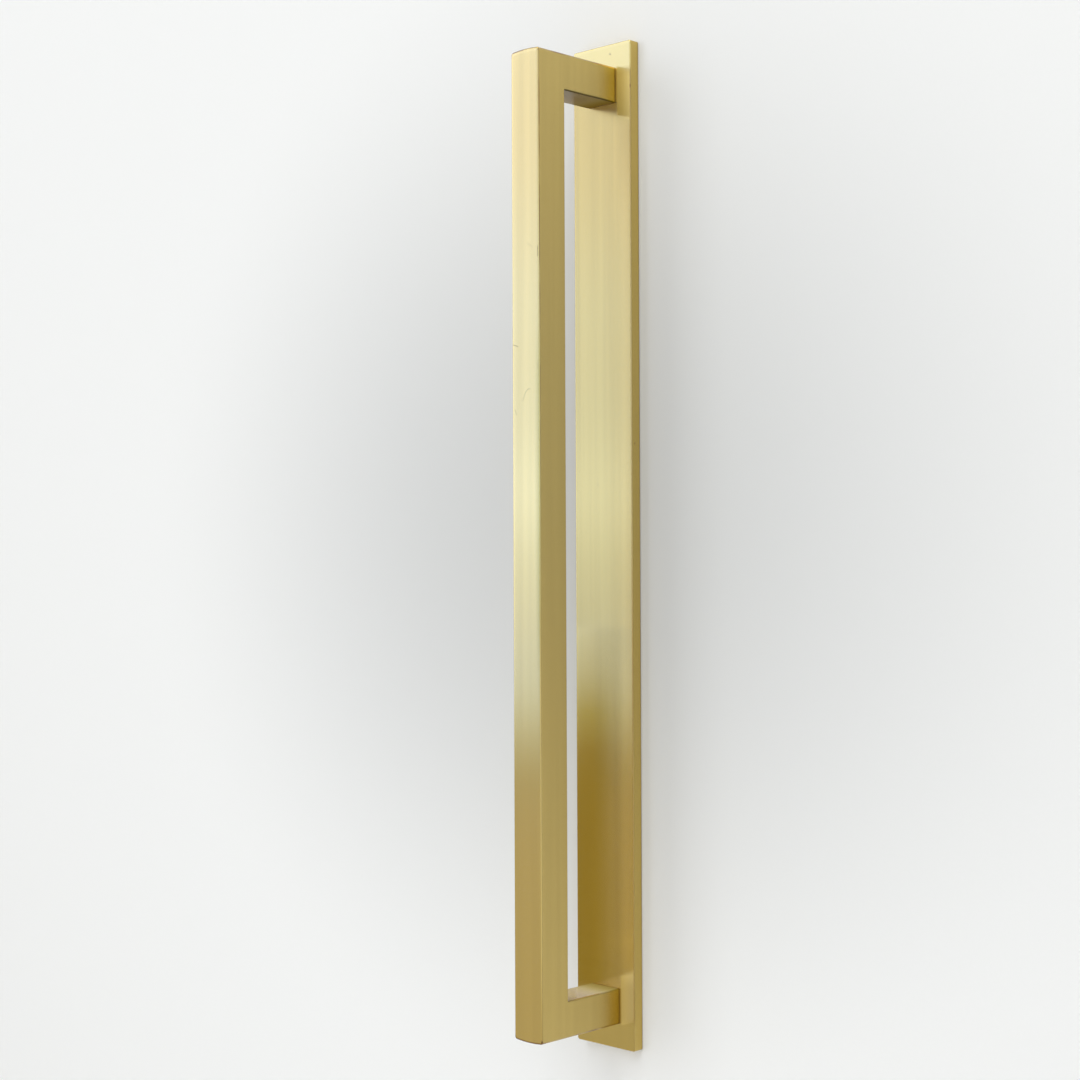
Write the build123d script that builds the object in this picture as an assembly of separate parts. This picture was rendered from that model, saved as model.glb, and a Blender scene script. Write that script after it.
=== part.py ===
from build123d import *
import math
import os

# Cabinet handle, a square bar pull on a backplate, fixed by two screws from behind the door.
# X runs across the door, Y into it and Z up. The origin is the centre of the backplate's rear face.
# All sizes are in millimetres.

# Pull handle, a grip with a post at each end
bar_size = 12.0
hole_centres = 300.0
finger_gap = 24.0
bar_arris = 0.4
end_crown = 0.4
end_corner_radius = 0.9
foot_chamfer = 0.25

# Backplate
plate_side_margin = 6.5
plate_end_margin = 7.5
plate_thickness = 4.0
plate_corner_radius = 0.7
plate_arris = 0.3
plate_rear_arris = 0.15

# The door that the screws pass through, from the backplate to the washers
door_thickness = 19.0

# Fixing screws, with a pan head, a cross recess, a plain shank and a threaded end
thread_diameter = 4.0
thread_length = 16.0
thread_engagement = 8.2
tip_chamfer = 0.5
shank_diameter = 3.54
shank_taper = 0.4
neck_proud = 0.7
head_diameter = 8.0
head_height = 3.1
head_shoulder = 1.7
head_under_chamfer = 0.15
recess_width = 4.4
recess_depth = 2.3
recess_floor_width = 2.0
recess_wing_thickness = 1.1
recess_core_width = 2.4
recess_core_floor_width = 1.5
recess_point_depth = 0.4

# Tapped holes in the posts
tap_spare = 2.8
drill_spare = 2.5
pilot_diameter = 3.3
drill_point_angle = 118.0
mouth_chamfer = 0.35

# Washers
washer_diameter = 9.0
washer_thickness = 0.8
washer_chamfer = 0.15

# Clearances, on the radius
tap_clearance = 0.02
plate_hole_clearance = 0.25
washer_clearance = 0.15

# Worked out from the sizes above
grip_length = hole_centres + bar_size
plate_width = bar_size + 2 * plate_side_margin
plate_length = grip_length + 2 * plate_end_margin
plate_front = -plate_thickness
grip_back = plate_front - finger_gap
grip_front = grip_back - bar_size
thread_radius = thread_diameter / 2
washer_front = door_thickness
head_seat = washer_front + washer_thickness
head_crown = head_seat + head_height
screw_tip = plate_front - thread_engagement
screw_heights = {"upper": hole_centres / 2, "lower": -hole_centres / 2}


def turned(outline):
    """A solid turned about the Y axis from its half outline, points of radius and place along Y."""
    return revolve(make_face(Polyline(*outline, close=True)), Axis.Y)


def tapped_hole():
    """The space of a blind tapped hole: mouth chamfer, thread, pilot drill and drill point."""
    bore = thread_radius + tap_clearance
    pilot = pilot_diameter / 2
    tap_end = screw_tip - tap_spare
    drill_end = tap_end - drill_spare
    point = pilot / math.tan(math.radians(drill_point_angle / 2))
    return turned(
        [
            (0, plate_front),
            (bore + mouth_chamfer, plate_front),
            (bore, plate_front - mouth_chamfer),
            (bore, tap_end),
            (pilot, tap_end),
            (pilot, drill_end),
            (0, drill_end - point),
        ]
    )


def bar_from_the_front():
    """The space that the bar fills seen from the front: each end is linished to an arc with round corners."""
    half, end = bar_size / 2, grip_length / 2
    shoulder = end - end_crown
    outline = make_face(
        [
            Line((-half, -shoulder), (-half, shoulder)),
            ThreePointArc((-half, shoulder), (0, end), (half, shoulder)),
            Line((half, shoulder), (half, -shoulder)),
            ThreePointArc((half, -shoulder), (0, -end), (-half, -shoulder)),
        ]
    )
    outline = fillet(outline.vertices(), end_corner_radius)
    return extrude(Plane.XZ * outline, -grip_front)


def pull_handle():
    """The grip and its two posts, one solid bent round the finger gap, with a tapped hole in each post."""
    outer = Rectangle(bar_size + finger_gap, grip_length)
    gap = Pos(bar_size / 2) * Rectangle(finger_gap, hole_centres - bar_size)
    side = Plane.YZ.offset(-bar_size / 2) * Pos((grip_front + plate_front) / 2) * (outer - gap)
    bar = extrude(side, bar_size) & bar_from_the_front()
    front = bar.faces().sort_by(Axis.Y)[0]

    def is_gap_arris(edge):
        lines_the_gap = abs(edge.center().Z) < (hole_centres - bar_size) / 2 + bar_arris
        return lines_the_gap and abs(edge.center().X) > bar_size / 2 - bar_arris

    gap_arrises = bar.edges().filter_by(is_gap_arris) - front.edges()
    bar = fillet(front.edges() + gap_arrises, bar_arris)
    feet = bar.faces().sort_by(Axis.Y)[-2:]
    bar = chamfer(feet.edges(), foot_chamfer)
    for height in screw_heights.values():
        bar -= Pos(0, 0, height) * tapped_hole()
    return bar


def backplate():
    """The flat plate behind the posts, with a clearance hole for each screw."""
    plate = Pos(0, plate_front / 2, 0) * Box(plate_width, plate_thickness, plate_length)
    plate = fillet(plate.edges().filter_by(Axis.Y), plate_corner_radius)
    front = plate.faces().sort_by(Axis.Y)[0]
    plate = fillet(front.edges(), plate_arris)
    rear = plate.faces().sort_by(Axis.Y)[-1]
    plate = chamfer(rear.edges(), plate_rear_arris)
    hole = extrude(Plane.XZ * Circle(thread_radius + plate_hole_clearance), plate_thickness)
    for height in screw_heights.values():
        plate -= Pos(0, 0, height) * hole
    return plate


def cross_recess():
    """The space of the driver's cross: four tapered wings round a tapered core, with a pointed floor."""
    floor = head_crown - recess_depth
    cone = turned(
        [(0, floor), (recess_floor_width / 2, floor), (recess_width / 2, head_crown), (0, head_crown)]
    )
    wing = Box(recess_width, recess_depth, recess_wing_thickness)
    cross = Pos(0, (floor + head_crown) / 2, 0) * (wing + Rot(0, 90, 0) * wing)
    core = turned(
        [
            (0, floor - recess_point_depth),
            (recess_core_floor_width / 2, floor),
            (recess_core_width / 2, head_crown),
            (0, head_crown),
        ]
    )
    return (cone & cross) + core


def fixing_screw():
    """A pan-head machine screw, turned from the tip to the crown, with the recess cut last."""
    shank = shank_diameter / 2
    neck = washer_front - neck_proud
    thread_end = screw_tip + thread_length
    head = head_diameter / 2
    body = turned(
        [
            (0, screw_tip),
            (thread_radius - tip_chamfer, screw_tip),
            (thread_radius, screw_tip + tip_chamfer),
            (thread_radius, thread_end),
            (shank, thread_end + shank_taper),
            (shank, neck - shank_taper),
            (thread_radius, neck),
            (thread_radius, head_seat),
            (head - head_under_chamfer, head_seat),
            (head, head_seat + head_under_chamfer),
            (head, head_crown),
            (0, head_crown),
        ]
    )
    rim = body.edges().sort_by(Axis.Y)[-1]
    return fillet(rim, head_shoulder) - cross_recess()


def washer():
    """A flat washer under a screw head, its front edge chamfered."""
    outer = washer_diameter / 2
    bore = thread_radius + washer_clearance
    return turned(
        [
            (bore, washer_front),
            (outer - washer_chamfer, washer_front),
            (outer, washer_front + washer_chamfer),
            (outer, head_seat),
            (bore, head_seat),
        ]
    )


pieces = {"pull_handle": pull_handle(), "backplate": backplate()}
for place, height in screw_heights.items():
    pieces[f"{place}_fixing_screw"] = Pos(0, 0, height) * fixing_screw()
    pieces[f"{place}_washer"] = Pos(0, 0, height) * washer()

os.makedirs("parts", exist_ok=True)
for name, piece in pieces.items():
    export_step(piece.solid(), f"parts/{name}.step")
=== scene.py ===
import math

import bpy
import numpy as np
from bpy.props import FloatProperty, FloatVectorProperty, IntProperty, PointerProperty
from mathutils import Matrix, Vector


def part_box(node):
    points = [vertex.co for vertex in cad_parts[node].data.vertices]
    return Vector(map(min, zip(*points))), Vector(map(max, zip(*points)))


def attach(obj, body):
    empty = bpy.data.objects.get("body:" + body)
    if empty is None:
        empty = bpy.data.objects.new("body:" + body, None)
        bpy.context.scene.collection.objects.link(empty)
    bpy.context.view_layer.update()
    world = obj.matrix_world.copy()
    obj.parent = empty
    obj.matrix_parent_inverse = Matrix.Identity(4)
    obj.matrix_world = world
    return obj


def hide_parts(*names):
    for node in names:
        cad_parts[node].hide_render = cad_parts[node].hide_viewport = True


bl_info = {
    "name": "Cabinet Handle",
    "version": (1, 0, 0),
    "blender": (4, 5, 0),
    "location": "3D View > Sidebar > Handle",
    "description": "Finishes a square bar handle in satin brass, cuts its screws and lights it",
    "category": "Object",
}

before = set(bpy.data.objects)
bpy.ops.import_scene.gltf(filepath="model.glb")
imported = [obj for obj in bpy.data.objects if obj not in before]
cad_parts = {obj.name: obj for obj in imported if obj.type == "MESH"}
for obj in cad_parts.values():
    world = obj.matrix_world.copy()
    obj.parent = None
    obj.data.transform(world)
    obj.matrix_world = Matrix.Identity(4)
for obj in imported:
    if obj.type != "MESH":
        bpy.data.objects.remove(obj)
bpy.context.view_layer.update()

# X runs across the plate, Y into the wall and Z up the handle. The origin is the middle of the plate's rear.
# Lengths are in metres, and come from the boxes of the solids where they depend on them.
MM = 0.001
X_AXIS, Y_AXIS, Z_AXIS = 0, 1, 2
handle_low, handle_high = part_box("pull_handle")
plate_low, plate_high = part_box("backplate")
screw_nodes = ["upper_fixing_screw", "lower_fixing_screw"]
washer_nodes = ["upper_washer", "lower_washer"]
screw_low, screw_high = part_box(screw_nodes[0])
head_radius = (screw_high.x - screw_low.x) / 2

# The grip ends at grip_end above and below the origin, and the posts' faces in the gap lie at post_inner.
bar_half = handle_high.x
bar_size = 2 * bar_half
grip_front = handle_low.y
grip_back = grip_front + bar_size
plate_front = plate_low.y
grip_end = handle_high.z
post_inner = grip_end - bar_size
end_crown = 0.4 * MM


def colour(name, description, default):
    """A colour property with the given default."""
    return FloatVectorProperty(
        name=name, description=description, subtype="COLOR", size=3, min=0, max=1, default=default
    )


def glow(name, description, default):
    """The colour of a card that glows, where 1 shows as white."""
    return FloatVectorProperty(
        name=name, description=description, subtype="COLOR", size=3, min=0, soft_max=5, default=default
    )


def share(name, description, default, high=1.0):
    """A plain number from 0 up to a highest value."""
    return FloatProperty(name=name, description=description, default=default, min=0, max=high)


def length(name, description, default):
    """A length in metres."""
    return FloatProperty(
        name=name, description=description, default=default, min=0,
        subtype="DISTANCE", unit="LENGTH", precision=6,
    )


def angle(name, description, degrees):
    """An angle, given in degrees."""
    return FloatProperty(name=name, description=description, subtype="ANGLE", default=math.radians(degrees))


def place(name, description, default):
    """A point in metres."""
    return FloatVectorProperty(
        name=name, description=description, default=default, size=3, subtype="TRANSLATION", unit="LENGTH"
    )


class HandleBrass(bpy.types.PropertyGroup):
    """The satin brass of the grip, the posts and the plate."""

    base: colour("Brass", "Colour of the clean brushed brass", (0.745, 0.55, 0.165))
    # Painted shade: the plate's brass is a darker copy of the grip's brass
    plate_shaded_base: colour("Plate brass", "Colour of the plate's duller brass", (0.63, 0.455, 0.114))
    # Painted light along the plate's right edge
    plate_side_light: colour("Plate side", "Colour of the plate's front along its right edge", (0.755, 0.555, 0.15))
    # Painted light on the plate's front beyond the posts
    plate_end_light: colour("Plate end", "Colour of the plate's front beyond the posts", (0.765, 0.597, 0.186))
    tarnish: colour("Tarnish", "Colour of the brown film along the edges", (0.20, 0.085, 0.03))
    # Painted shade on the posts' faces in the gap
    inner_shade: colour("Inner film", "Colour of the grey film on the posts in the gap", (0.29, 0.26, 0.21))
    # Painted reflection of the plate on the posts' sides
    foot: colour("Foot", "Colour of the posts' sides towards the plate", (0.70, 0.48, 0.0))
    joint: colour("Joint", "Colour of the dark line where the posts meet the plate", (0.10, 0.075, 0.015))
    # Painted shade along the grip's front at its right arris
    margin: colour("Margin", "Colour of the dull margin along the grip's right arris", (0.42, 0.34, 0.06))
    mark: colour("Marks", "Colour of the scratches and small dents", (0.30, 0.205, 0.045))
    roughness: share("Roughness", "Roughness between the brush lines' two directions", 0.24)
    across: share("Anisotropy", "How much further light spreads across the brush lines than along them", 1.0)
    line_width: length("Brush line width", "Width of the finest brush lines", 0.12 * MM)
    line_length: length("Brush line length", "Length of the finest brush lines", 14 * MM)
    line_depth: length("Brush line depth", "Depth of the brush lines", 0.0006 * MM)
    band_width: length("Band width", "Width of the broad streaks that linishing leaves", 2.8 * MM)
    band_length: length("Band length", "Length of the broad streaks", 160 * MM)
    band_tone: share("Band tone", "How much darker the dark streaks are", 0.045)
    # Painted shade on the grip's sides
    side_shade: share("Side tone", "How much duller the grip's sides are than its front", 0.24)
    edge_width: length("Edge film width", "Width of the brown film along an edge", 0.75 * MM)
    roll_width: length("Rolled width", "Width along an edge over which the face is rolled off", 1.5 * MM)
    roll_depth: length("Rolled depth", "How far the grip's faces have rolled off at an edge", 0.09 * MM)
    plate_roll_depth: length("Plate rolled depth", "How far the plate's faces have rolled off", 0.02 * MM)
    lacquer: share("Lacquer", "Weight of the clear lacquer", 0.5)
    lacquer_roughness: share("Lacquer roughness", "Roughness of the clear lacquer", 0.28)


class HandleScrew(bpy.types.PropertyGroup):
    """The sizes of a fixing screw along its axis, and its plating."""

    thread_radius: length("Thread radius", "Radius over the thread's crests", 2.0 * MM)
    pitch: length("Pitch", "Rise of the thread in one turn", 0.7 * MM)
    thread_depth: length("Thread depth", "Depth of the thread from crest to root", 0.43 * MM)
    thread_length: length("Thread length", "Length of the threaded end", 16 * MM)
    shank_radius: length("Shank radius", "Radius of the plain shank", 1.77 * MM)
    shank_taper: length("Shank taper", "Length of the cone at each end of the shank", 0.4 * MM)
    neck_length: length("Neck length", "Length of the full neck under the head", 1.5 * MM)
    tip_chamfer: length("Tip chamfer", "Chamfer at the tip", 0.5 * MM)
    head_height: length("Head height", "Height of the pan head", 3.1 * MM)
    head_shoulder: length("Head shoulder", "Radius of the head's rounded shoulder", 1.7 * MM)
    under_chamfer: length("Under chamfer", "Chamfer under the head's rim", 0.15 * MM)
    recess_reach: length("Recess reach", "Reach of the cross at the crown", 2.2 * MM)
    recess_floor_reach: length("Recess floor reach", "Reach of the cross at its floor", 1.0 * MM)
    recess_depth: length("Recess depth", "Depth of the cross", 2.3 * MM)
    recess_point: length("Recess point", "Depth of the point below the floor", 0.4 * MM)
    wing_half: length("Wing half thickness", "Half the thickness of a wing of the cross", 0.55 * MM)
    core_radius: length("Core radius", "Radius of the core of the cross at the crown", 1.2 * MM)
    core_floor_radius: length("Core floor radius", "Radius of the core at its floor", 0.75 * MM)
    rings_per_turn: IntProperty(
        name="Rings per turn", description="Rings of faces in one turn of thread", default=10, min=6
    )
    zinc: colour("Zinc", "Colour of the bright zinc plating", (0.62, 0.63, 0.65))
    zinc_roughness: share("Zinc roughness", "Roughness of the plating", 0.27)


class HandleStage(bpy.types.PropertyGroup):
    """The wall, the floor, the lamps, the glowing cards and the camera."""

    wall: colour("Wall", "Colour of the wall away from the handle", (0.93, 0.945, 0.95))
    wall_shade: colour("Wall shade", "Colour of the wall round the handle", (0.65, 0.665, 0.67))
    floor: colour("Floor", "Colour of the floor", (0.635, 0.59, 0.515))
    sky: colour("Surroundings", "Colour of the light from all round", (0.53, 0.54, 0.545))
    floor_drop: length("Floor drop", "How far the floor lies below the origin", 0.36)
    key_level: share("Key level", "Brightness of the key lamp as a surface, where 1 shows as white", 2.3, 10)
    key_distance: length("Key distance", "Distance of the key lamp from the handle", 3.5)
    top_level: share("Top level", "Brightness of the soft panel overhead", 2.3, 10)
    right_level: share("Right level", "Brightness of the lamp at the front right", 1.3, 10)
    foot_level: share("Foot level", "Brightness of the small panel that lights the wall's foot", 0.9, 10)
    window_distance: length("Window distance", "Distance of the front card from the handle", 2.2)
    window_head: glow("Window head", "Glow of the front card above the handle's top", (1.50, 1.75, 2.95))
    window_top: glow("Window top", "Glow of the front card at the handle's top", (1.31, 1.48, 2.45))
    window_upper: glow("Window upper", "Glow of the front card halfway up", (1.27, 1.57, 2.95))
    window_middle: glow("Window middle", "Glow of the front card above the bright band", (1.20, 1.55, 3.05))
    window_band: glow("Window band", "Glow of the front card's bright band", (1.46, 1.90, 3.85))
    window_low: glow("Window low", "Glow of the front card at the handle's middle", (1.11, 1.43, 2.65))
    window_sill: glow("Window sill", "Glow of the front card below the handle's middle", (0.95, 1.22, 2.48))
    window_skirt: glow("Window skirt", "Glow of the front card above its foot", (0.77, 0.92, 1.36))
    window_foot: glow("Window foot", "Glow of the front card at its foot", (0.49, 0.47, 0.30))
    left_card: glow("Left card", "Glow of the card at the far left", (1.6, 1.7, 2.3))
    fill_top: glow("Fill top", "Glow at the top of the card behind the camera", (0.90, 1.00, 1.35))
    fill_middle: glow("Fill middle", "Glow of the card behind the camera", (1.05, 1.34, 2.20))
    fill_low: glow("Fill low", "Glow at the foot of the card behind the camera", (0.90, 0.97, 1.15))
    dark_card: glow("Dark card", "Glow of the small card that the lower half reflects", (0.40, 0.31, 0.0))
    dusk_card: glow("Dusk card", "Glow of the small card above its dark part", (0.55, 0.54, 0.25))
    dim_card: glow("Dim card", "Glow of the small card near its upper edge", (0.80, 0.95, 1.55))
    pale_card: glow("Pale card", "Glow of the small card at its upper edge", (1.00, 1.28, 2.60))
    upper_joint_card: glow("Upper joint card", "Glow beside the upper post at the plate", (0.68, 0.64, 0.48))
    upper_post_card: glow("Upper post card", "Glow beside the upper post at the grip", (1.30, 1.38, 1.8))
    lower_joint_card: glow("Lower joint card", "Glow beside the lower post at the plate", (0.78, 0.75, 0.72))
    lower_post_card: glow("Lower post card", "Glow beside the lower post at the grip", (0.73, 0.74, 0.95))
    shelf_low: glow("Shelf low", "Glow over the lower post, seen near the plate", (0.38, 0.33, 0.12))
    shelf_middle: glow("Shelf middle", "Glow over the lower post, seen halfway out", (0.58, 0.55, 0.33))
    shelf_high: glow("Shelf high", "Glow over the lower post, seen near the grip", (0.88, 0.94, 1.30))
    ceiling_low: glow("Ceiling low", "Glow under the upper post, seen near the grip", (0.38, 0.345, 0.28))
    ceiling_middle: glow("Ceiling middle", "Glow under the upper post, seen halfway", (0.31, 0.26, 0.095))
    ceiling_high: glow("Ceiling high", "Glow under the upper post, seen near the plate", (0.21, 0.147, 0.03))
    camera_place: place("Camera place", "Where the camera stands", (0.4181, -0.4646, -0.0030))
    camera_turn: angle("Camera turn", "Turn of the camera from facing the wall", 44.147)
    camera_rise: angle("Camera rise", "Tilt of the camera above level", 0.434)
    camera_roll: angle("Camera roll", "Roll of the camera", -0.236)
    focal_length: FloatProperty(
        name="Focal length", description="Focal length in millimetres, on a frame 36 mm wide",
        default=63.31, min=1,
    )


# Short ways to write a node tree


def connect(tree, node, inputs):
    """Feeds a node's sockets, by name or number, from other sockets or with plain values."""
    for key, value in inputs.items():
        if isinstance(value, bpy.types.NodeSocket):
            tree.links.new(value, node.inputs[key])
        else:
            node.inputs[key].default_value = value


def add(tree, kind, inputs=None, **settings):
    """Adds a node. Settings are its own properties, and inputs go to its sockets by name or number."""
    node = tree.nodes.new(kind)
    for name, value in settings.items():
        setattr(node, name, value)
    connect(tree, node, inputs or {})
    return node


def maths(tree, operation, *values):
    """A Math node's result."""
    return add(tree, "ShaderNodeMath", dict(enumerate(values)), operation=operation).outputs[0]


def product(tree, *factors):
    """Several values multiplied together."""
    result = factors[0]
    for factor in factors[1:]:
        result = maths(tree, "MULTIPLY", result, factor)
    return result


def vectors(tree, operation, *values):
    """A Vector Math node's vector."""
    return add(tree, "ShaderNodeVectorMath", dict(enumerate(values)), operation=operation).outputs[0]


def measure(tree, operation, *values):
    """A Vector Math node's number, for lengths, distances and dot products."""
    node = add(tree, "ShaderNodeVectorMath", dict(enumerate(values)), operation=operation)
    return node.outputs["Value"]


def scaled(tree, vector, factor):
    """A vector times a number."""
    return add(tree, "ShaderNodeVectorMath", {0: vector, "Scale": factor}, operation="SCALE").outputs[0]


def split(tree, vector):
    """The X, Y and Z parts of a vector."""
    return add(tree, "ShaderNodeSeparateXYZ", {"Vector": vector}).outputs


def ramp(tree, value, start, end, low=0.0, high=1.0, form="LINEAR"):
    """A straight change from low to high as the value goes from start to end."""
    inputs = {"Value": value, "From Min": start, "From Max": end, "To Min": low, "To Max": high}
    return add(tree, "ShaderNodeMapRange", inputs, interpolation_type=form).outputs["Result"]


def fade(tree, value, start, end, low=0.0, high=1.0):
    """A change from low to high as a ramp gives, smooth at both ends."""
    return ramp(tree, value, start, end, low, high, "SMOOTHSTEP")


def blend(tree, share_of_second, first, second):
    """A mix of two colours."""
    inputs = {0: share_of_second, 6: first, 7: second}
    return add(tree, "ShaderNodeMix", inputs, data_type="RGBA").outputs[2]


def noise(tree, position, scale, detail=3.0):
    """Noise between 0 and 1; the scale is its number of cells in a metre."""
    inputs = {"Vector": position, "Scale": scale, "Detail": detail}
    return add(tree, "ShaderNodeTexNoise", inputs).outputs["Fac"]


def varied(tree, value, pattern, amount):
    """A value that a pattern between 0 and 1 changes by up to half the amount either way."""
    return maths(tree, "ADD", value, maths(tree, "MULTIPLY", maths(tree, "SUBTRACT", pattern, 0.5), amount))


def geometry(tree, name):
    """What the Geometry node tells of the surface under the given name."""
    return add(tree, "ShaderNodeNewGeometry").outputs[name]


def rgba(values):
    """A colour property as four numbers."""
    return (*values, 1.0)


def new_group(name, inputs, outputs):
    """An empty node group with its named sockets; gives the tree, its input sockets and its result node."""
    tree = bpy.data.node_groups.new(name, "ShaderNodeTree")
    for title, kind, default in inputs:
        socket = tree.interface.new_socket(title, in_out="INPUT", socket_type="NodeSocket" + kind)
        socket.default_value = default
    for title in outputs:
        tree.interface.new_socket(title, in_out="OUTPUT", socket_type="NodeSocketFloat")
    return tree, add(tree, "NodeGroupInput").outputs, add(tree, "NodeGroupOutput")


def use(tree, group, **inputs):
    """Places a node group in a tree; inputs are its sockets, with spaces written as underscores."""
    node = add(tree, "ShaderNodeGroup", node_tree=group)
    connect(tree, node, {key.replace("_", " ").capitalize(): value for key, value in inputs.items()})
    return node.outputs


# Shared effects

POSITION_SOCKET = ("Vector", "Vector", (0, 0, 0))


def streaks_group():
    """Streaks along Z: noise stretched by the ratio of their length to their width."""
    inputs = [POSITION_SOCKET, ("Width", "Float", 0.001), ("Length", "Float", 0.1), ("Detail", "Float", 2.0)]
    tree, given, result = new_group("streaks", inputs, ["Value"])
    across = maths(tree, "DIVIDE", 1.0, given["Width"])
    along = maths(tree, "DIVIDE", 1.0, given["Length"])
    scale = add(tree, "ShaderNodeCombineXYZ", {"X": across, "Y": across, "Z": along}).outputs[0]
    stretched = vectors(tree, "MULTIPLY", given["Vector"], scale)
    connect(tree, result, {"Value": noise(tree, stretched, 1.0, given["Detail"])})
    return tree


def box_edge_group():
    """The distance from the nearest edge of a box, and a mask that is 1 inside the box.

    A point on the surface has depth 0 under one face. The middle one of its three depths is its distance
    from the nearest edge. The crown is how much lower the box's ends are at their sides than at their middle.
    """
    inputs = [
        POSITION_SOCKET, ("Centre", "Vector", (0, 0, 0)), ("Half size", "Vector", (1, 1, 1)),
        ("Crown", "Float", 0.0),
    ]
    tree, given, result = new_group("box edge", inputs, ["Distance", "Inside"])
    slack = 0.03 * MM
    offset = vectors(tree, "SUBTRACT", given["Vector"], given["Centre"])
    away = vectors(tree, "ABSOLUTE", offset)
    across, _, _ = split(tree, vectors(tree, "DIVIDE", away, given["Half size"]))
    x, y, under_crown = split(tree, vectors(tree, "SUBTRACT", given["Half size"], away))
    drop = maths(tree, "MULTIPLY", given["Crown"], maths(tree, "MULTIPLY", across, across))
    z = maths(tree, "SUBTRACT", under_crown, drop)
    low, high = maths(tree, "MINIMUM", x, y), maths(tree, "MAXIMUM", x, y)
    distance = maths(tree, "MAXIMUM", low, maths(tree, "MINIMUM", high, z))
    inside = maths(tree, "GREATER_THAN", maths(tree, "MINIMUM", low, z), -slack)
    connect(tree, result, {"Distance": distance, "Inside": inside})
    return tree


def scratch_group():
    """A mask along a straight scratch: 1 on the line from start to end and 0 from a width away."""
    inputs = [
        POSITION_SOCKET, ("Start", "Vector", (0, 0, 0)), ("End", "Vector", (0, 0, 1)),
        ("Width", "Float", 0.0002),
    ]
    tree, given, result = new_group("scratch", inputs, ["Mask"])
    run = vectors(tree, "SUBTRACT", given["End"], given["Start"])
    offset = vectors(tree, "SUBTRACT", given["Vector"], given["Start"])
    run_squared = measure(tree, "DOT_PRODUCT", run, run)
    along = maths(tree, "DIVIDE", measure(tree, "DOT_PRODUCT", offset, run), run_squared)
    held = add(tree, "ShaderNodeClamp", {"Value": along}).outputs[0]
    away = measure(tree, "DISTANCE", offset, scaled(tree, run, held))
    connect(tree, result, {"Mask": fade(tree, away, given["Width"], 0.0)})
    return tree


def turned_rings_group():
    """Fine turned rings about the Y axis: noise read along the radius and the place along the axis."""
    inputs = [POSITION_SOCKET, ("Width", "Float", 0.0001)]
    tree, given, result = new_group("turned rings", inputs, ["Value"])
    flat = vectors(tree, "MULTIPLY", given["Vector"], (1, 0, 1))
    radius = measure(tree, "LENGTH", flat)
    _, along, _ = split(tree, given["Vector"])
    point = add(tree, "ShaderNodeCombineXYZ", {"X": radius, "Y": along}).outputs[0]
    stretched = scaled(tree, point, maths(tree, "DIVIDE", 1.0, given["Width"]))
    connect(tree, result, {"Value": noise(tree, stretched, 1.0)})
    return tree


def shared_group(name):
    """The named effect, built the first time that it is asked for."""
    makers = {
        "streaks": streaks_group,
        "box edge": box_edge_group,
        "scratch": scratch_group,
        "turned rings": turned_rings_group,
    }
    return bpy.data.node_groups.get(name) or makers[name]()


# Materials


def empty_material(name):
    """A bare material; gives the material, its tree and its object coordinates."""
    material = bpy.data.materials.new(name)
    material.use_nodes = True
    tree = material.node_tree
    tree.nodes.clear()
    return material, tree, add(tree, "ShaderNodeTexCoord").outputs["Object"]


def new_material(name):
    """A material with one shader; gives the material, its tree, its shader and its object coordinates."""
    material, tree, position = empty_material(name)
    shader = add(tree, "ShaderNodeBsdfPrincipled")
    add(tree, "ShaderNodeOutputMaterial", {"Surface": shader.outputs[0]})
    return material, tree, shader, position


def front_only(tree, front):
    """The given shader on the front of the faces, with a clear back that hides nothing behind it."""
    clear = add(tree, "ShaderNodeBsdfTransparent").outputs[0]
    return add(tree, "ShaderNodeMixShader", {0: geometry(tree, "Backfacing"), 1: front, 2: clear}).outputs[0]


def brushed_brass(name, brass, base, roll_depth, centre, half_size, crown=0.0):
    """Satin brass brushed along Z, and along Y on level faces, rolled off a little along a box's edges.

    Gives the material, its tree, its shader, its object coordinates and what the box edge effect puts out.
    """
    material, tree, shader, position = new_material(name)
    streaks = shared_group("streaks")
    fine = use(tree, streaks, vector=position, width=brass.line_width, length=brass.line_length)["Value"]
    bands = use(tree, streaks, vector=position, width=brass.band_width, length=brass.band_length)["Value"]
    box = use(
        tree, shared_group("box edge"), vector=position, centre=centre, half_size=half_size, crown=crown
    )

    light_band, dark_band, band_roughness = 0.3, 0.7, 0.04
    dark_streak = [channel * (1 - brass.band_tone) for channel in base]
    toned = blend(tree, fade(tree, bands, light_band, dark_band), rgba(base), rgba(dark_streak))

    nearness = maths(tree, "SUBTRACT", 1.0, maths(tree, "DIVIDE", box["Distance"], brass.roll_width))
    edge = maths(tree, "MAXIMUM", nearness, 0.0)
    lines = maths(tree, "MULTIPLY", fine, brass.line_depth)
    height = maths(tree, "ADD", lines, product(tree, edge, edge, -roll_depth))
    bump = add(tree, "ShaderNodeBump", {"Height": height, "Distance": 1.0, "Strength": 1.0}).outputs[0]

    along_handle, into_wall = (0, 0, 1), (0, 1, 0)
    normal = geometry(tree, "Normal")
    _, _, facing_up = split(tree, normal)
    level = maths(tree, "GREATER_THAN", maths(tree, "ABSOLUTE", facing_up), 0.5)
    directions = {0: level, 4: along_handle, 5: into_wall}
    brushed_along = add(tree, "ShaderNodeMix", directions, data_type="VECTOR").outputs[1]

    connect(tree, shader, {
        "Base Color": toned,
        "Roughness": varied(tree, brass.roughness, bands, band_roughness),
        "Normal": bump,
        "Tangent": vectors(tree, "CROSS_PRODUCT", normal, brushed_along),
        "Metallic": 1.0,
        "Anisotropic": brass.across,
        "Coat Weight": brass.lacquer,
        "Coat Roughness": brass.lacquer_roughness,
    })
    return material, tree, shader, position, box


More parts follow.
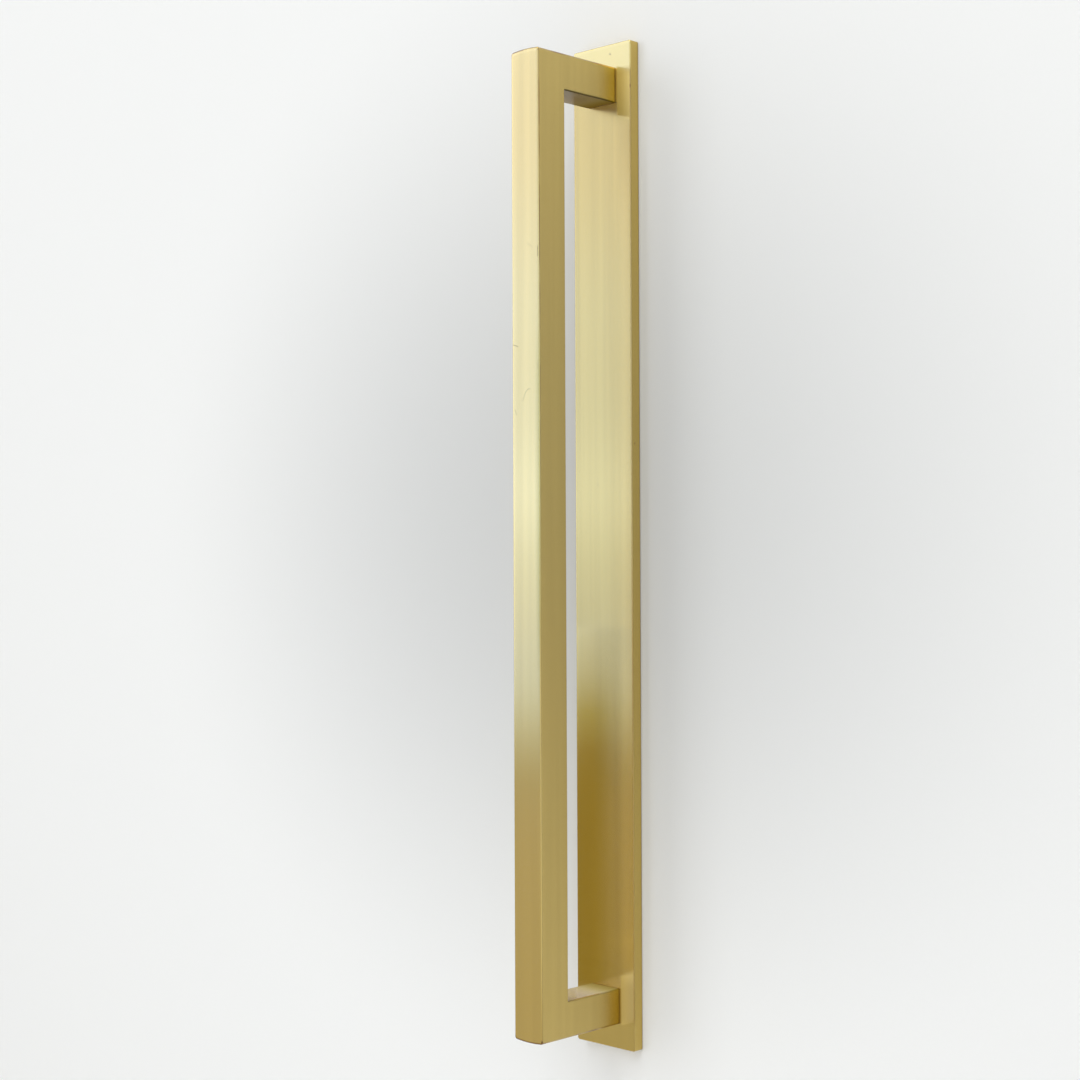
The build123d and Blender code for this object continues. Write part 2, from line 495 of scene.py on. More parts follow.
def stain_and_painted_light(tree, shader, mask, film, rougher=0.0):
    """Lays a colour over what the shader's base colour has so far, where the mask is, and makes it rougher.
    The colour is a real stain in some uses and painted light or shade in others.
    """
    colour_so_far = shader.inputs["Base Color"].links[0].from_socket
    connect(tree, shader, {"Base Color": blend(tree, mask, colour_so_far, rgba(film))})
    if rougher:
        rough_so_far = shader.inputs["Roughness"].links[0].from_socket
        rough = maths(tree, "ADD", rough_so_far, maths(tree, "MULTIPLY", mask, rougher))
        connect(tree, shader, {"Roughness": rough})


def marks(tree, shader, position, lines, film):
    """Draws scratches and dents: each is a start, an end and a width in millimetres, and a strength."""
    scratch = shared_group("scratch")
    for start, end, width, strength in lines:
        start, end = [tuple(part * MM for part in point) for point in (start, end)]
        line = use(tree, scratch, vector=position, start=start, end=end, width=width * MM)["Mask"]
        stain_and_painted_light(tree, shader, maths(tree, "MULTIPLY", line, strength), film)


def handle_brass_material(brass):
    """The brass of the grip and posts, with all that lies on it.

    The sides carry painted shade that makes them darker than the front. Brown film lies along the edges.
    Painted shade makes a darker margin on the front's right and a darker grey on the posts' faces in the gap,
    a painted reflection turns the posts' sides olive towards the plate, and there is a dark line at the
    posts' feet and a few marks on the front.
    """
    centre, half_size = (handle_low + handle_high) / 2, (handle_high - handle_low) / 2
    material, tree, shader, position, box = brushed_brass(
        "grip brass", brass, brass.base, brass.roll_depth, centre, half_size, end_crown
    )
    x, y, z = split(tree, position)
    facing_side, _, facing_up = split(tree, geometry(tree, "Normal"))
    height = maths(tree, "ABSOLUTE", z)
    black = (0, 0, 0)

    # Painted shade on the sides, darkening them against the front
    side_facing = (0.5, 0.9)
    sideways = fade(tree, maths(tree, "ABSOLUTE", facing_side), *side_facing)
    stain_and_painted_light(tree, shader, maths(tree, "MULTIPLY", sideways, brass.side_shade), black)

    # The brown film along the edges, in patches: most at the ends, and more of it towards the top
    film_low, film_high, least_film, most_film = -0.06, 0.14, 0.12, 0.85
    full_film_width = 0.2 * MM
    patch_scale, patch_edges, patch_range = 120.0, (0.40, 0.60), (-0.6, 1.0)
    from_edge = fade(tree, box["Distance"], brass.edge_width, full_film_width)
    near_edge = maths(tree, "MULTIPLY", from_edge, box["Inside"])
    upward = fade(tree, z, film_low, film_high, least_film, most_film)
    at_end = fade(tree, height, grip_end - 2 * MM, grip_end - 1 * MM)
    on_side = fade(tree, y, grip_front + 0.10 * MM, grip_front + 0.30 * MM)
    amount = maths(tree, "MAXIMUM", maths(tree, "MULTIPLY", upward, on_side), at_end)
    patches = fade(tree, fade(tree, noise(tree, position, patch_scale), *patch_edges), *patch_range)
    stain_and_painted_light(tree, shader, product(tree, near_edge, amount, patches), brass.tarnish)

    # Painted shade: a darker margin on the front along its right arris, over part of its height
    margin_strength, margin_zone = 0.35, (3.8 * MM, 5.4 * MM)
    stretch_starts, stretch_stops = (-0.05, -0.02), (0.075, 0.05)
    at_front = maths(tree, "LESS_THAN", y, grip_front + 0.3 * MM)
    shaded_right_margin = product(tree, fade(tree, x, *margin_zone), at_front)
    bright_stretch = product(tree, fade(tree, z, *stretch_starts), fade(tree, z, *stretch_stops))
    stain_and_painted_light(tree, shader, product(tree, shaded_right_margin, bright_stretch, margin_strength), brass.margin)

    # Painted shade: a darker grey on the posts' faces in the gap, where they are also rougher
    shade_at_grip, shade_at_plate, shade_on_lower, lower_reach = 0.88, 0.40, 0.75, 6 * MM
    level_facing, gap_roughness = (0.4, 0.8), 0.2
    behind_grip = maths(tree, "GREATER_THAN", y, grip_back - 0.1 * MM)
    in_gap = maths(tree, "MULTIPLY", behind_grip, maths(tree, "LESS_THAN", height, post_inner + bar_half))
    level_face = fade(tree, maths(tree, "ABSOLUTE", facing_up), *level_facing)
    under_top = fade(tree, y, grip_back, plate_front, shade_at_grip, shade_at_plate)
    over_bottom = fade(tree, y, grip_back, grip_back + lower_reach, shade_on_lower, 0.0)
    at_top = maths(tree, "GREATER_THAN", z, 0.0)
    share_of_shade = add(tree, "ShaderNodeMix", {0: at_top, 2: over_bottom, 3: under_top}).outputs[0]
    inner_mask = product(tree, in_gap, level_face, share_of_shade)
    stain_and_painted_light(tree, shader, inner_mask, brass.inner_shade, gap_roughness)

    # The dark lip where those faces meet the posts' sides
    least_lip, most_lip = 0.35, 0.9
    from_lip = maths(tree, "ABSOLUTE", maths(tree, "SUBTRACT", height, post_inner))
    at_side = fade(tree, maths(tree, "ABSOLUTE", x), bar_half - 0.6 * MM, bar_half - 0.2 * MM)
    lip = product(tree, in_gap, fade(tree, from_lip, 0.6 * MM, 0.3 * MM), at_side)
    share_of_lip = fade(tree, z, -0.1, 0.1, least_lip, most_lip)
    stain_and_painted_light(tree, shader, maths(tree, "MULTIPLY", lip, share_of_lip), brass.joint)

    # Painted reflection of the plate on the posts' sides towards it, and the dark line at the joint
    foot_strength, joint_strength = 0.5, 0.3
    foot = maths(tree, "MULTIPLY", sideways, fade(tree, y, plate_front - 6.5 * MM, plate_front - 0.5 * MM))
    stain_and_painted_light(tree, shader, maths(tree, "MULTIPLY", foot, foot_strength), brass.foot)
    joint = fade(tree, y, plate_front - 0.45 * MM, plate_front - 0.15 * MM)
    stain_and_painted_light(tree, shader, maths(tree, "MULTIPLY", joint, joint_strength), brass.joint)

    front = grip_front / MM
    dents = [
        ((5.45, front, 93.3), (5.45, front, 90.2), 0.25, 0.8),
        ((5.4, front, 57.0), (5.4, front, 55.0), 0.30, 0.35),
        ((-5.4, front, 63.2), (-3.4, front, 62.5), 0.25, 0.75),
        ((0.8, front, 94.7), (3.0, front, 93.5), 0.30, 0.2),
        ((-1.3, front, 45.4), (-0.1, front, 47.9), 0.26, 0.38),
        ((-0.1, front, 47.9), (0.9, front, 48.8), 0.26, 0.38),
        ((0.9, front, 48.8), (1.9, front, 48.9), 0.26, 0.38),
        ((-4.8, front, 42.7), (-4.1, front, 41.0), 0.25, 0.4),
    ]
    marks(tree, shader, position, dents, brass.mark)
    return material


def plate_brass_material(brass):
    """The brass of the backplate, with all that lies on it.

    Its brass is a darker copy of the grip's, as painted shade, and painted light makes its front lighter
    along the right side and beyond the posts. The front's right arris and the rear edges have a thin brown
    film, and there are a few specks.
    """
    centre, half_size = (plate_low + plate_high) / 2, (plate_high - plate_low) / 2
    # Painted shade: the plate's base colour is a darker copy of the grip's brass
    material, tree, shader, position, box = brushed_brass(
        "plate brass", brass, brass.plate_shaded_base, brass.plate_roll_depth, centre, half_size
    )
    x, y, z = split(tree, position)
    at_front = maths(tree, "LESS_THAN", y, plate_front + 0.5 * MM)
    arris_start, arris_end = 12.1 * MM, 12.3 * MM

    # Painted light: the lighter right side of the front, between the posts and fainter in the upper half
    side_zone, upper_share = (4.5 * MM, 10.0 * MM), 0.45
    side_stops, side_thins = (0.135, 0.105), (-0.055, -0.015)
    short_of_arris = fade(tree, x, arris_end, arris_start)
    lit_right_side = product(tree, fade(tree, x, *side_zone), short_of_arris, at_front)
    above_lower_post = fade(tree, z, -post_inner, -post_inner + 6 * MM)
    below_upper_post = fade(tree, z, *side_stops)
    lower_half = fade(tree, z, *side_thins, 1.0, upper_share)
    share_of_side = product(tree, above_lower_post, below_upper_post, lower_half)
    stain_and_painted_light(tree, shader, maths(tree, "MULTIPLY", lit_right_side, share_of_side), brass.plate_side_light)

    # The film on the right arris
    arris_film = 0.25
    arris = product(tree, fade(tree, x, arris_start, arris_end), at_front, arris_film)
    stain_and_painted_light(tree, shader, arris, brass.tarnish)

    # Painted light: the paler front beyond the posts, fainter at the lower end
    lower_share = 0.35
    beyond_posts = fade(tree, maths(tree, "ABSOLUTE", z), grip_end - 3 * MM, grip_end)
    share_of_end = fade(tree, z, -0.05, 0.05, lower_share, 1.0)
    stain_and_painted_light(tree, shader, product(tree, beyond_posts, at_front, share_of_end), brass.plate_end_light)

    # The film along the rear edges
    rear_zone = (-1.2 * MM, -0.6 * MM)
    from_edge = fade(tree, box["Distance"], 0.5 * brass.edge_width, 0.0)
    rear = fade(tree, y, *rear_zone)
    stain_and_painted_light(tree, shader, product(tree, from_edge, box["Inside"], rear), brass.tarnish)

    front, side = plate_front / MM, plate_high.x / MM
    specks = [
        ((3.7, front, 160.4), (3.9, front, 160.2), 0.45, 0.6),
        ((side, front, 148.8), (side, front, 148.2), 0.45, 0.8),
        ((side, -2.5, 32.9), (side, -2.6, 32.6), 0.40, 0.6),
        ((-2.4, front, 19.9), (-2.3, front, 19.7), 0.40, 0.3),
        ((-6.1, front, -16.8), (-4.4, front, -18.7), 0.35, 0.12),
    ]
    marks(tree, shader, position, specks, brass.tarnish)
    return material


def bright_zinc(name, screw, height):
    """Bright zinc plate with fine turned rings about the screw's axis, at the given height."""
    material, tree, shader, position = new_material(name)
    ring_width, ring_depth = 0.09 * MM, 0.004 * MM
    cloud_scale, cloud_edges, cloud_roughness = 420.0, (0.35, 0.7), 0.25
    warm_cast = (1.02, 0.97, 0.86)
    centred = add(tree, "ShaderNodeMapping", {"Vector": position, "Location": (0, 0, -height)}).outputs[0]
    rings = use(tree, shared_group("turned rings"), vector=centred, width=ring_width)["Value"]
    cloud = noise(tree, position, cloud_scale)
    warm = [channel * cast for channel, cast in zip(screw.zinc, warm_cast)]
    bump = add(tree, "ShaderNodeBump", {"Height": rings, "Distance": ring_depth, "Strength": 1.0})
    connect(tree, shader, {
        "Base Color": blend(tree, fade(tree, cloud, *cloud_edges), rgba(screw.zinc), rgba(warm)),
        "Roughness": varied(tree, screw.zinc_roughness, cloud, cloud_roughness),
        "Normal": bump.outputs[0],
        "Metallic": 1.0,
    })
    return material


def one_sided(name, paint, shade=None):
    """Plain matt paint with a faint grain on the front of the faces. Their back is clear.

    shade is the colour that the paint darkens to round the handle, in a soft oval.
    """
    material, tree, position = empty_material(name)
    grain_scale, grain_tone = 900.0, 0.985
    grain = noise(tree, position, grain_scale, 2.0)
    tone = blend(tree, grain, rgba(paint), rgba([channel * grain_tone for channel in paint]))
    if shade is not None:
        oval_x, oval_z, half_wide, half_high = -0.018, 0.012, 0.22, 0.19
        shade_ends, shade_is_full = 1.15, 0.05
        oval = add(tree, "ShaderNodeMapping", {
            "Vector": position,
            "Location": (-oval_x / half_wide, 0, -oval_z / half_high),
            "Scale": (1 / half_wide, 0, 1 / half_high),
        }).outputs[0]
        away = measure(tree, "LENGTH", oval)
        tone = blend(tree, fade(tree, away, shade_ends, shade_is_full), tone, rgba(shade))
    matt = {"Base Color": tone, "Roughness": 0.85, "Specular IOR Level": 0.2}
    shader = add(tree, "ShaderNodeBsdfPrincipled", matt).outputs[0]
    add(tree, "ShaderNodeOutputMaterial", {"Surface": front_only(tree, shader)})
    return material


def glowing(name, stops, axis=Z_AXIS, second=None):
    """A card's glow, from stops of a place along an axis and the colour there, joined by straight changes.

    second holds an axis, two places along it and the factors by which the glow changes there. The card's back
    is clear.
    """
    material, tree, position = empty_material(name)
    material.cycles.emission_sampling = "NONE"
    places = split(tree, position)
    tone = rgba(stops[0][1])
    for (low, _), (high, above) in zip(stops, stops[1:]):
        tone = blend(tree, ramp(tree, places[axis], low, high), tone, rgba(above))
    strength = 1.0
    if second is not None:
        second_axis, start, end, at_start, at_end = second
        strength = ramp(tree, places[second_axis], start, end, at_start, at_end)
    light = add(tree, "ShaderNodeEmission", {"Color": tone, "Strength": strength}).outputs[0]
    add(tree, "ShaderNodeOutputMaterial", {"Surface": front_only(tree, light)})
    return material


def assign(node, material):
    """Gives a solid of the frame its material and takes the plain one away."""
    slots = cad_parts[node].data.materials
    slots.clear()
    slots.append(material)


# Surfaces


def new_piece(name, vertices, faces, material, smooth=True):
    """A mesh object at the origin, with its place in its mesh."""
    mesh = bpy.data.meshes.new(name)
    mesh.from_pydata(vertices, [], faces)
    mesh.materials.append(material)
    mesh.polygons.foreach_set("use_smooth", np.full(len(mesh.polygons), smooth))
    mesh.update()
    mesh.validate()
    piece = bpy.data.objects.new(name, mesh)
    bpy.context.scene.collection.objects.link(piece)
    return piece


def turned_skin(radius, turn, along, height):
    """Vertices and faces of a closed skin about an axis parallel to Y, at the given height.

    radius, turn and along are arrays with one row per ring and one column per step round the axis. A vertex
    lies at (radius cos turn, along, height + radius sin turn). A pole closes each end.
    """
    rings, steps = radius.shape
    points = np.stack([radius * np.cos(turn), along, height + radius * np.sin(turn)], -1).reshape(-1, 3)
    poles = [(0, along[0, 0], height), (0, along[-1, 0], height)]
    step = np.arange(steps)
    following = (step + 1) % steps
    ring_start = np.arange(rings - 1)[:, None] * steps
    first, after = ring_start + step, ring_start + following
    quads = np.stack([first, after, after + steps, first + steps], -1).reshape(-1, 4)
    start_pole, end_pole = rings * steps, rings * steps + 1
    last = (rings - 1) * steps
    start_fan = np.stack([np.full(steps, start_pole), following, step], -1)
    end_fan = np.stack([np.full(steps, end_pole), last + step, last + following], -1)
    vertices = np.vstack([points, poles])
    return vertices, quads.tolist() + start_fan.tolist() + end_fan.tolist()


def thread_form(turns):
    """Height of the thread, 0 at its root and 1 at its crest, as the count of turns goes up.

    The root is flat for a quarter of the pitch, the crest for an eighth, and the flanks are straight.
    """
    half_root, half_crest = 1 / 8, 1 / 16
    from_root = np.abs((turns % 1.0) - 0.5)
    return np.clip((from_root - half_root) / (1 / 2 - half_crest - half_root), 0, 1)


def ease(value, start, end):
    """0 before start, 1 after end, and a straight change between them."""
    return np.clip((value - start) / (end - start), 0, 1)


def between(first, second, share_of_second):
    """A value part of the way from a first one to a second one."""
    return first + (second - first) * share_of_second


def cross_turns(corners, knots):
    """The turn of each column of the cross recess, with its corners at the given turns from a wing's middle.

    An eighth of a turn has as many columns as the last knot. A knot gives the column that a corner falls on.
    """
    quarter = math.pi / 2
    columns = np.arange(knots[-1])
    corner_turns = [0, *corners, quarter / 2]
    rising = np.interp(columns, knots, corner_turns)
    falling = quarter - np.interp(knots[-1] - columns, knots, corner_turns)
    return np.concatenate([part + k * quarter for k in range(4) for part in (rising, falling)])


def screw_surface(screw, tip, crown):
    """Arrays of radius, turn and place along Y for a pan-head screw, from its tip to the floor of its recess.

    On the thread the radius at (turn, along) follows the thread's form at along / pitch - turn / 2 pi. The
    rest is turned, up to the crown. In the recess the radius is the cross's outline, the smaller of the
    wing's reach and its half thickness over the sine of the turn from the wing, but at least the core's.
    Each eighth of a turn has one set of columns on the wing's end, one on its side and one on the core, so
    the corners of the cross fall on columns.
    """
    knots = np.array([0, 5, 10, 16])
    steps = 8 * knots[-1]
    even_turn = np.arange(steps) * (2 * math.pi / steps)
    rows = []

    def ring(radius, along, turn=even_turn):
        """Adds one ring; the radius may be a number or one for each column."""
        rows.append((np.broadcast_to(radius, steps), turn, np.broadcast_to(along, steps)))

    # The thread, which runs out into the shank over its last turns
    root_fades, crest_fades = 1.6 * screw.pitch, 0.8 * screw.pitch
    thread_end = tip + screw.thread_length
    crest, root, shank = screw.thread_radius, screw.thread_radius - screw.thread_depth, screw.shank_radius
    count = int(round(screw.thread_length / screw.pitch * screw.rings_per_turn))
    along = tip + np.linspace(0, 1, count + 1)[:, None] * screw.thread_length
    low = between(root, shank, ease(along, thread_end - root_fades, thread_end))
    high = between(crest, shank, ease(along, thread_end - crest_fades, thread_end))
    turns = (along - tip) / screw.pitch - even_turn[None, :] / (2 * math.pi)
    radius = between(low, high, thread_form(turns))
    tip_radius = crest - screw.tip_chamfer
    radius = np.minimum(radius, tip_radius + (along - tip))
    ring(0.5 * tip_radius, tip)
    for thread_ring, place_along in zip(radius, along):
        ring(thread_ring, place_along)

    # The shank, the neck and the head with its rounded shoulder
    shank_rings, shoulder_rings = 12, 12
    seat = crown - screw.head_height
    neck = seat - screw.neck_length
    for place_along in np.linspace(thread_end + screw.shank_taper, neck - screw.shank_taper, shank_rings):
        ring(shank, place_along)
    ring(crest, neck)
    ring(crest, seat)
    ring(head_radius - screw.under_chamfer, seat)
    ring(head_radius, seat + screw.under_chamfer)
    shoulder_start = crown - screw.head_shoulder
    for bend in np.linspace(0, math.pi / 2, shoulder_rings + 1):
        inset = screw.head_shoulder * (1 - math.cos(bend))
        ring(head_radius - inset, shoulder_start + screw.head_shoulder * math.sin(bend))

    # The cross recess, with a narrow lip round it on the crown
    lip, least_sine, largest_sine = 0.06 * MM, 1e-6, math.sin(math.pi / 4 * 0.98)
    for sunk, wider in [(0, lip), (0, 0), (0.02, 0), (0.25, 0), (0.5, 0), (0.75, 0), (1, 0)]:
        reach = between(screw.recess_reach, screw.recess_floor_reach, sunk)
        core = between(screw.core_radius, screw.core_floor_radius, sunk)
        wing_corner = math.asin(screw.wing_half / reach)
        core_corner = math.asin(min(screw.wing_half / core, largest_sine))
        turn = cross_turns([wing_corner, core_corner], knots)
        from_wing = np.abs((turn + math.pi / 4) % (math.pi / 2) - math.pi / 4)
        side = screw.wing_half / np.maximum(np.sin(from_wing), least_sine)
        outline = np.maximum(np.minimum(reach, side), core)
        ring(outline + wider, crown - sunk * screw.recess_depth, turn)
    for share_of_radius, share_of_point in [(0.3, 0.7), (0.001, 1)]:
        floor = crown - screw.recess_depth
        ring(share_of_radius * screw.core_floor_radius, floor - share_of_point * screw.recess_point)
    return [np.array(part) for part in zip(*rows)]


# Operators


def axis_height(node):
    """The height of the middle of a solid's box, where the axis of a screw or washer lies."""
    low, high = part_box(node)
    return (low.z + high.z) / 2


class HANDLE_OT_pull_handle(bpy.types.Operator):
    """Gives the grip and its posts their brushed brass"""

    bl_idname = "handle.pull_handle"
    bl_label = "Pull Handle"

    def execute(self, context):
        assign("pull_handle", handle_brass_material(context.scene.handle_brass))
        return {"FINISHED"}


class HANDLE_OT_backplate(bpy.types.Operator):
    """Gives the backplate its brushed brass"""

    bl_idname = "handle.backplate"
    bl_label = "Backplate"

    def execute(self, context):
        assign("backplate", plate_brass_material(context.scene.handle_brass))
        return {"FINISHED"}


class HANDLE_OT_fixing_screws(bpy.types.Operator):
    """Cuts the fixing screws with their threads and cross recesses"""

    bl_idname = "handle.fixing_screws"
    bl_label = "Fixing Screws"

    def execute(self, context):
        screw = context.scene.handle_screw
        for node in screw_nodes:
            low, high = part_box(node)
            height = axis_height(node)
            radius, turn, along = screw_surface(screw, low.y, high.y)
            vertices, faces = turned_skin(radius, turn, along, height)
            material = bright_zinc(node + " zinc", screw, height)
            piece = new_piece(node.replace("fixing", "threaded"), vertices, faces, material)
            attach(piece, "root")
            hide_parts(node)
        return {"FINISHED"}


class HANDLE_OT_washers(bpy.types.Operator):
    """Gives the washers their zinc plate"""

    bl_idname = "handle.washers"
    bl_label = "Washers"

    def execute(self, context):
        for node in washer_nodes:
            assign(node, bright_zinc(node + " zinc", context.scene.handle_screw, axis_height(node)))
        return {"FINISHED"}


def rectangle(left, right, low, high):
    """The corners of a rectangle, going round it from the first one."""
    return [(left, low), (right, low), (right, high), (left, high)]


def sheet(name, corners, material):
    """A flat rectangle of the stage through four corners, facing by the right-hand rule."""
    piece = new_piece(name, corners, [(0, 1, 2, 3)], material, smooth=False)
    return piece


def card(name, left, right, low, high, stops, axis=Z_AXIS, second=None):
    """An upright glowing card that is seen only as a reflection.

    It stands between two places on the ground plan, and faces the side that they are left and right from.
    """
    corners = [(*left, low), (*right, low), (*right, high), (*left, high)]
    piece = sheet(name, corners, glowing(name, stops, axis, second))
    piece.visible_camera = False
    piece.visible_diffuse = False
    piece.visible_shadow = False


def facing_ends(degrees, distance, wide):
    """The left and right ends on the ground plan of an upright card that faces the handle.

    degrees is the angle from straight out of the wall towards the left. Left and right are as seen from the
    handle.
    """
    turn = math.radians(degrees)
    centre = Vector((-math.sin(turn), -math.cos(turn))) * distance
    half = Vector((-math.cos(turn), math.sin(turn))) * wide / 2
    return centre - half, centre + half


def soft_panel(name, centre, target, wide, high, level, reflected=False):
    """A rectangular lamp that faces a target. Its surface has the brightness level, where 1 is white.

    reflected says whether it shows in the metal.
    """
    lamp = bpy.data.lights.new(name, "AREA")
    lamp.shape = "RECTANGLE"
    lamp.size = wide
    lamp.size_y = high
    lamp.energy = level * math.pi * wide * high
    holder = bpy.data.objects.new(name, lamp)
    holder.location = centre
    holder.rotation_euler = (Vector(target) - Vector(centre)).to_track_quat("-Z", "Y").to_euler()
    holder.visible_camera = False
    holder.visible_glossy = reflected
    bpy.context.scene.collection.objects.link(holder)
    return lamp


def set_backdrop(stage):
    """The wall, with an opening behind the plate that shows the plate's rear, and the floor."""
    wall_left, wall_right, wall_top, behind_plate = -0.46, 0.22, 0.45, 0.05 * MM
    floor_left, floor_right, floor_near, floor_far = -3.6, 2.5, -3.6, 2.5
    overlap = 0.3 * MM
    open_x, open_z = plate_high.x - overlap, plate_high.z - overlap
    floor_height = -stage.floor_drop
    outer = rectangle(wall_left, wall_right, floor_height, wall_top)
    inner = rectangle(-open_x, open_x, -open_z, open_z)
    wall_points = [(x, behind_plate, z) for x, z in outer + inner]
    wall_faces = [(0, 1, 5, 4), (1, 2, 6, 5), (2, 3, 7, 6), (3, 0, 4, 7)]
    wall_paint = one_sided("wall paint", stage.wall, stage.wall_shade)
    new_piece("wall", wall_points, wall_faces, wall_paint, smooth=False)
    floor = [(x, y, floor_height) for x, y in rectangle(floor_left, floor_right, floor_near, floor_far)]
    sheet("floor", floor, one_sided("floor paint", stage.floor))


def set_lamps(stage):
    """The key panel at the front left, one overhead, one at the front right, and one at the wall's foot."""
    origin = (0, 0, 0)
    key_turn, key_rise = math.radians(36), 0.6
    key_place = Vector((-math.sin(key_turn), -math.cos(key_turn), 0)) * stage.key_distance
    key_place.z = key_rise
    top_place, top_size = (0.2, -1.4, 1.9), 1.8
    foot_place, foot_target, foot_wide, foot_high = (0, -0.5, -0.33), (0, 0, -0.15), 0.6, 0.2
    foot_colour = (0.92, 1.0, 1.15)
    right_place = (2.0, -2.87, 0.6)
    side_wide, side_high = 1.3, 2.0
    soft_panel("key panel", key_place, origin, side_wide, side_high, stage.key_level)
    soft_panel("top panel", top_place, origin, top_size, top_size, stage.top_level, reflected=True)
    foot = soft_panel("foot panel", foot_place, foot_target, foot_wide, foot_high, stage.foot_level)
    foot.color = foot_colour
    soft_panel("right panel", right_place, origin, side_wide, side_high, stage.right_level)


def set_far_cards(stage):
    """The large cards in front of the handle and at both sides of it."""
    card_foot = -stage.floor_drop + 0.01
    window = [
        (-0.33, stage.window_foot), (-0.256, stage.window_skirt), (-0.21, stage.window_sill),
        (-0.13, stage.window_sill), (-0.01, stage.window_low), (0.08, stage.window_band),
        (0.20, stage.window_middle), (0.37, stage.window_upper), (0.60, stage.window_top),
        (0.745, stage.window_top), (0.80, stage.window_head),
    ]
    window_turn, window_wide, window_high = 44.6, 2.8, 1.7
    brighter_left = (X_AXIS, -2.1, -1.0, 1.42, 0.64)
    window_ends = facing_ends(window_turn, stage.window_distance, window_wide)
    card("window card", *window_ends, card_foot, window_high, window, second=brighter_left)

    left_turn, left_distance, left_wide, left_low, left_high = 70, 1.96, 0.83, -0.12, 0.30
    left_ends = facing_ends(left_turn, left_distance, left_wide)
    card("left card", *left_ends, left_low, left_high, [(0, stage.left_card)])

    fill = [
        (-0.06, stage.fill_low), (0.02, stage.fill_middle), (0.24, stage.fill_middle), (0.33, stage.fill_top),
    ]
    fill_turn, fill_distance, fill_wide, fill_high = -42, 0.85, 1.16, 0.6
    card("fill card", *facing_ends(fill_turn, fill_distance, fill_wide), card_foot, fill_high, fill)


def set_near_cards(stage):
    """The small cards that the plate reflects low down and beside the posts, and the posts in the gap."""
    dark = [
        (-0.070, stage.dark_card), (-0.057, stage.dusk_card), (-0.043, stage.dim_card),
        (-0.028, stage.pale_card),
    ]
    dark_start, dark_stop, dark_out, dark_low, dark_high = -0.0125, -0.030, -0.020, -0.150, -0.028
    darker_end = (X_AXIS, -0.024, -0.0145, 1.0, 0.88)
    dark_ends = (dark_start, dark_out), (dark_stop, dark_out)
    card("dark card", *dark_ends, dark_low, dark_high, dark, second=darker_end)

    beside = bar_half + 0.3 * MM
    post_ends = (beside, grip_back), (beside, plate_front - 0.5 * MM)
    reach = post_inner - 4 * MM
    upper = [(-11 * MM, stage.upper_post_card), (-8 * MM, stage.upper_joint_card)]
    lower = [(-11 * MM, stage.lower_post_card), (-5 * MM, stage.lower_joint_card)]
    dimmer_at_gap = (Z_AXIS, reach, grip_end, 0.74, 1.12)
    card("upper post card", *post_ends, reach, grip_end, upper, Y_AXIS, dimmer_at_gap)
    card("lower post card", *post_ends, -grip_end, -reach, lower, Y_AXIS)

    before_plate = plate_front - 0.3 * MM
    plate_ends = (plate_low.x, before_plate), (plate_high.x, before_plate)
    gap_card_high = 8 * MM
    shelf = [
        (-post_inner, stage.shelf_low), (-post_inner + 3 * MM, stage.shelf_middle),
        (-post_inner + 6 * MM, stage.shelf_high),
    ]
    ceiling = [
        (post_inner - 5 * MM, stage.ceiling_low), (post_inner - 4 * MM, stage.ceiling_middle),
        (post_inner, stage.ceiling_high),
    ]
    card("shelf card", *plate_ends, -post_inner, -post_inner + gap_card_high, shelf)
    card("ceiling card", *plate_ends, post_inner - gap_card_high, post_inner, ceiling)


def set_surroundings(stage):
    """A plain world that lights everything a little."""
    world = bpy.data.worlds.new("studio")
    world.use_nodes = True
    world.node_tree.nodes["Background"].inputs["Color"].default_value = rgba(stage.sky)
    bpy.context.scene.world = world


def set_camera(stage):
    """The camera, turned from facing the wall, then tilted and rolled."""
    lens = bpy.data.cameras.new("camera")
    lens.lens = stage.focal_length
    lens.sensor_width = 36
    lens.clip_start = 0.02
    camera = bpy.data.objects.new("camera", lens)
    turn = Matrix.Rotation(stage.camera_turn, 4, "Z")
    tilt = Matrix.Rotation(math.pi / 2 + stage.camera_rise, 4, "X")
    roll = Matrix.Rotation(stage.camera_roll, 4, "Z")
    camera.matrix_world = Matrix.Translation(stage.camera_place) @ turn @ tilt @ roll
    bpy.context.scene.collection.objects.link(camera)
    bpy.context.scene.camera = camera


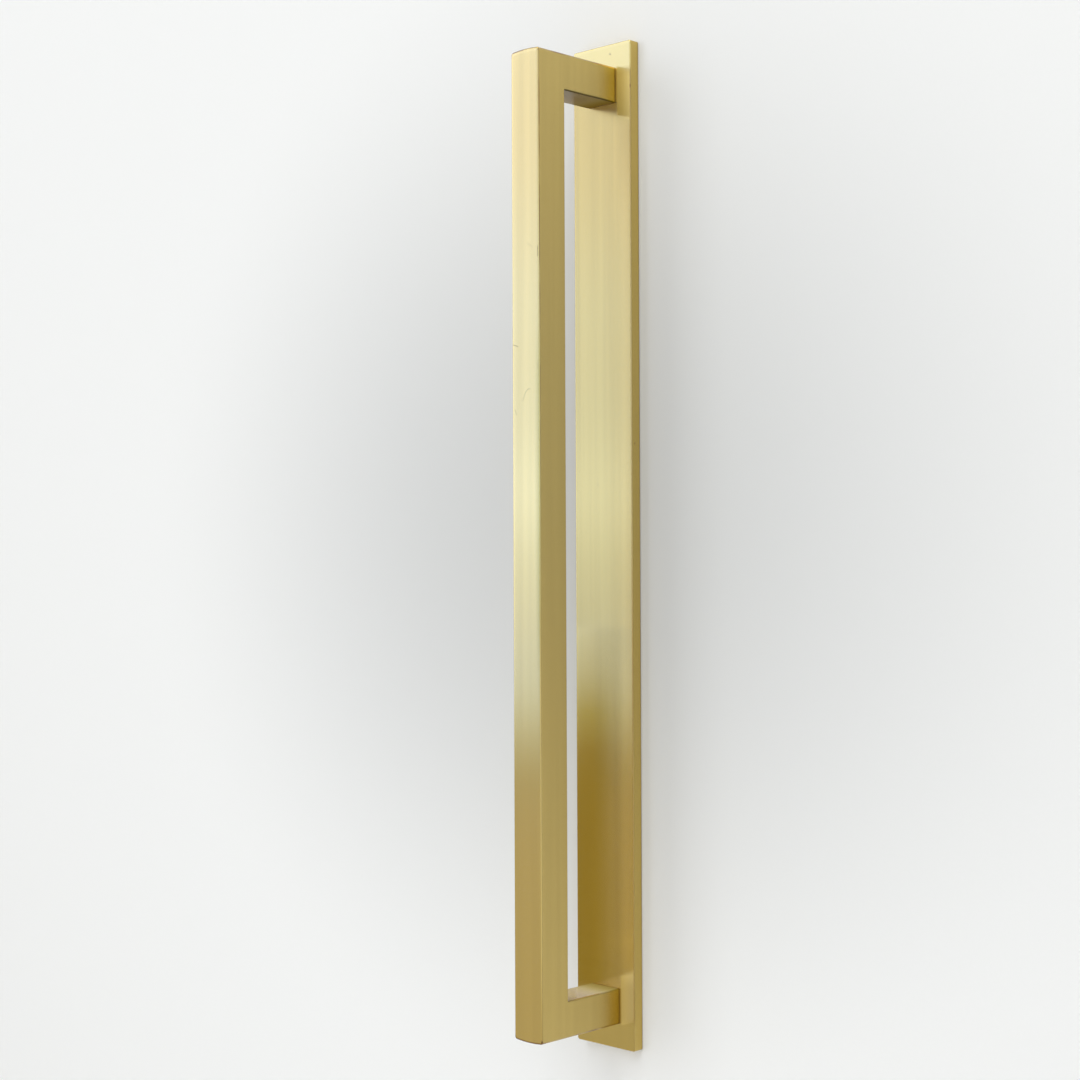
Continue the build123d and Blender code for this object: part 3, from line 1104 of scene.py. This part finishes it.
class HANDLE_OT_stage(bpy.types.Operator):
    """Sets up the wall, the floor, the lamps, the glowing cards and the camera"""

    bl_idname = "handle.stage"
    bl_label = "Stage"

    def execute(self, context):
        stage = context.scene.handle_stage
        context.scene.view_settings.view_transform = "Standard"
        set_backdrop(stage)
        set_lamps(stage)
        set_far_cards(stage)
        set_near_cards(stage)
        set_surroundings(stage)
        set_camera(stage)
        return {"FINISHED"}


class HANDLE_PT_sidebar(bpy.types.Panel):
    """Lists the pieces and their settings"""

    bl_idname = "HANDLE_PT_sidebar"
    bl_label = "Cabinet Handle"
    bl_space_type = "VIEW_3D"
    bl_region_type = "UI"
    bl_category = "Handle"

    def draw(self, context):
        for operator in OPERATORS:
            self.layout.operator(operator.bl_idname)
        for name in SETTINGS:
            settings = getattr(context.scene, name)
            box = self.layout.box()
            box.label(text=name.replace("_", " ").capitalize())
            for key in settings.bl_rna.properties.keys():
                if key not in ("rna_type", "name"):
                    box.prop(settings, key)


OPERATORS = [
    HANDLE_OT_pull_handle,
    HANDLE_OT_backplate,
    HANDLE_OT_fixing_screws,
    HANDLE_OT_washers,
    HANDLE_OT_stage,
]
SETTINGS = {"handle_brass": HandleBrass, "handle_screw": HandleScrew, "handle_stage": HandleStage}


def register():
    """Registers the classes and puts the settings on the scene."""
    for kind in [*SETTINGS.values(), *OPERATORS, HANDLE_PT_sidebar]:
        bpy.utils.register_class(kind)
    for name, kind in SETTINGS.items():
        setattr(bpy.types.Scene, name, PointerProperty(type=kind))


def unregister():
    """Takes the settings off the scene and the classes out."""
    for name in SETTINGS:
        delattr(bpy.types.Scene, name)
    for kind in reversed([*SETTINGS.values(), *OPERATORS, HANDLE_PT_sidebar]):
        bpy.utils.unregister_class(kind)


def main():
    """Finishes every piece and sets the stage."""
    register()
    bpy.ops.handle.pull_handle()
    bpy.ops.handle.backplate()
    bpy.ops.handle.fixing_screws()
    bpy.ops.handle.washers()
    bpy.ops.handle.stage()


if __name__ == "__main__":
    main()
